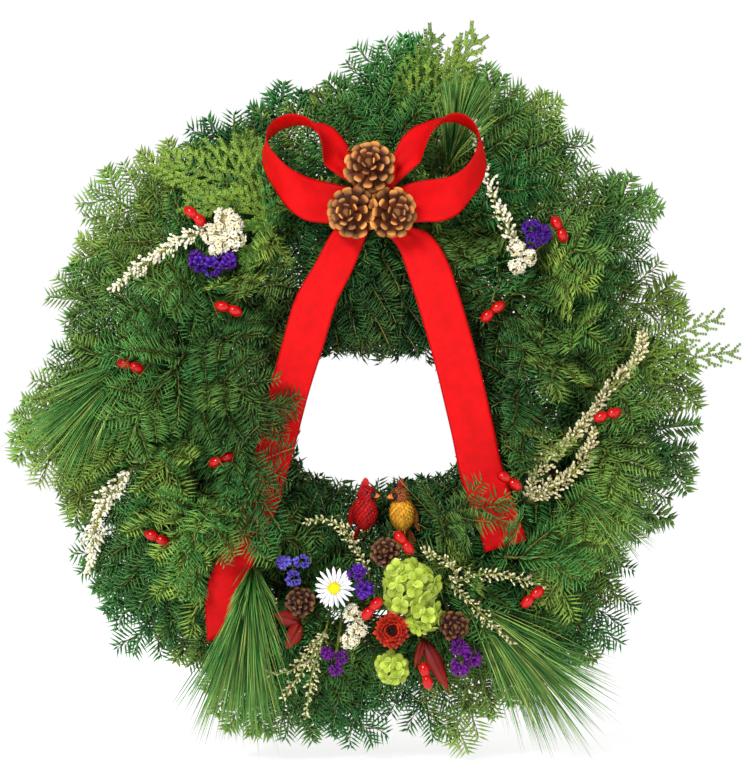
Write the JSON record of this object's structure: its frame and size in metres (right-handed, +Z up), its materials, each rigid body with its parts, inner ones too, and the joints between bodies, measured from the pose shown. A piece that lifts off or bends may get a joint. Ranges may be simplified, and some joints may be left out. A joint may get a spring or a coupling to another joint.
{
  "type": "wreath",
  "caption": "Evergreen door wreath on a wire ring, with a red ribbon bow, three pine cones, dried flowers, berries and two small birds",
  "frame": {"origin": "underside of the ring wire at the top of the ring, where the hook carries the wreath", "axes": "+Z up, +X to the right seen from the front, the front faces -Y and the wall is at +Y"},
  "size_m": [0.6737, 0.1431, 0.6645],
  "materials": {
    "wire": "dark green painted steel wire",
    "ribbon": "bright red satin ribbon",
    "cone": "brown cone scales with tan edges",
    "fir": "fresh fir needles on tan twigs",
    "pine": "long soft pine needles",
    "cedar": "flat yellow-green cedar foliage",
    "berry": "glossy lacquered red berries",
    "lime_petal": "dried lime green petals",
    "white_petal": "dried white petals",
    "cream_petal": "dried cream buds",
    "purple_petal": "dried purple petals",
    "blue_petal": "dried violet-blue petals",
    "orange_petal": "dried red-orange petals",
    "maroon_leaf": "dried dark red leaves",
    "red_feather": "red feathers",
    "yellow_feather": "yellow and brown feathers"
  },
  "bodies": {
    "root": {"wire_ring": "wire", "binding_wire": "wire", "bow": "ribbon", "ribbon_tail_left": "ribbon", "ribbon_tail_right": "ribbon", "bow_cone_top": "cone", "bow_cone_left": "cone", "bow_cone_right": "cone", "small_cone_top": "cone", "small_cone_right": "cone", "small_cone_left": "cone", "hydrangea_large": "lime_petal", "hydrangea_small": "lime_petal", "daisy": "white_petal", "strawflower": "orange_petal", "everlasting_white": "white_petal", "statice_violet": "purple_petal", "statice_blue": "blue_petal", "statice_purple_right": "purple_petal", "statice_purple_left": "purple_petal", "statice_upper_left": "purple_petal", "statice_upper_right": "purple_petal", "white_spray_upper_left": "white_petal", "white_spray_upper_right": "white_petal", "astilbe_right": "cream_petal", "astilbe_left": "cream_petal", "heather_right": "cream_petal", "heather_left": "cream_petal", "heather_top": "cream_petal", "red_leaves_right": "maroon_leaf", "red_leaves_left": "maroon_leaf", "bird_red": "red_feather", "bird_yellow": "yellow_feather", "pine_left": "pine", "pine_bottom_left": "pine", "pine_bottom_right": "pine", "pine_right": "pine", "pine_top_right": "pine", "cedar_upper_left": "cedar", "cedar_top": "cedar", "cedar_right": "cedar", "fir_bunch_1": "fir", "fir_bunch_2": "fir", "fir_bunch_3": "fir", "fir_bunch_4": "fir", "fir_bunch_5": "fir", "fir_bunch_6": "fir", "berries_upper_left": "berry", "berries_left_top": "berry", "berries_left": "berry", "berries_left_tail": "berry", "berries_lower_left": "berry", "berries_upper_right": "berry", "berries_right_tail": "berry", "berries_right": "berry", "berries_tail_end": "berry", "berries_lower_right": "berry", "berries_bottom_top": "berry", "berries_bottom_middle": "berry", "berries_bottom_right": "berry"}
  },
  "joints": []
}
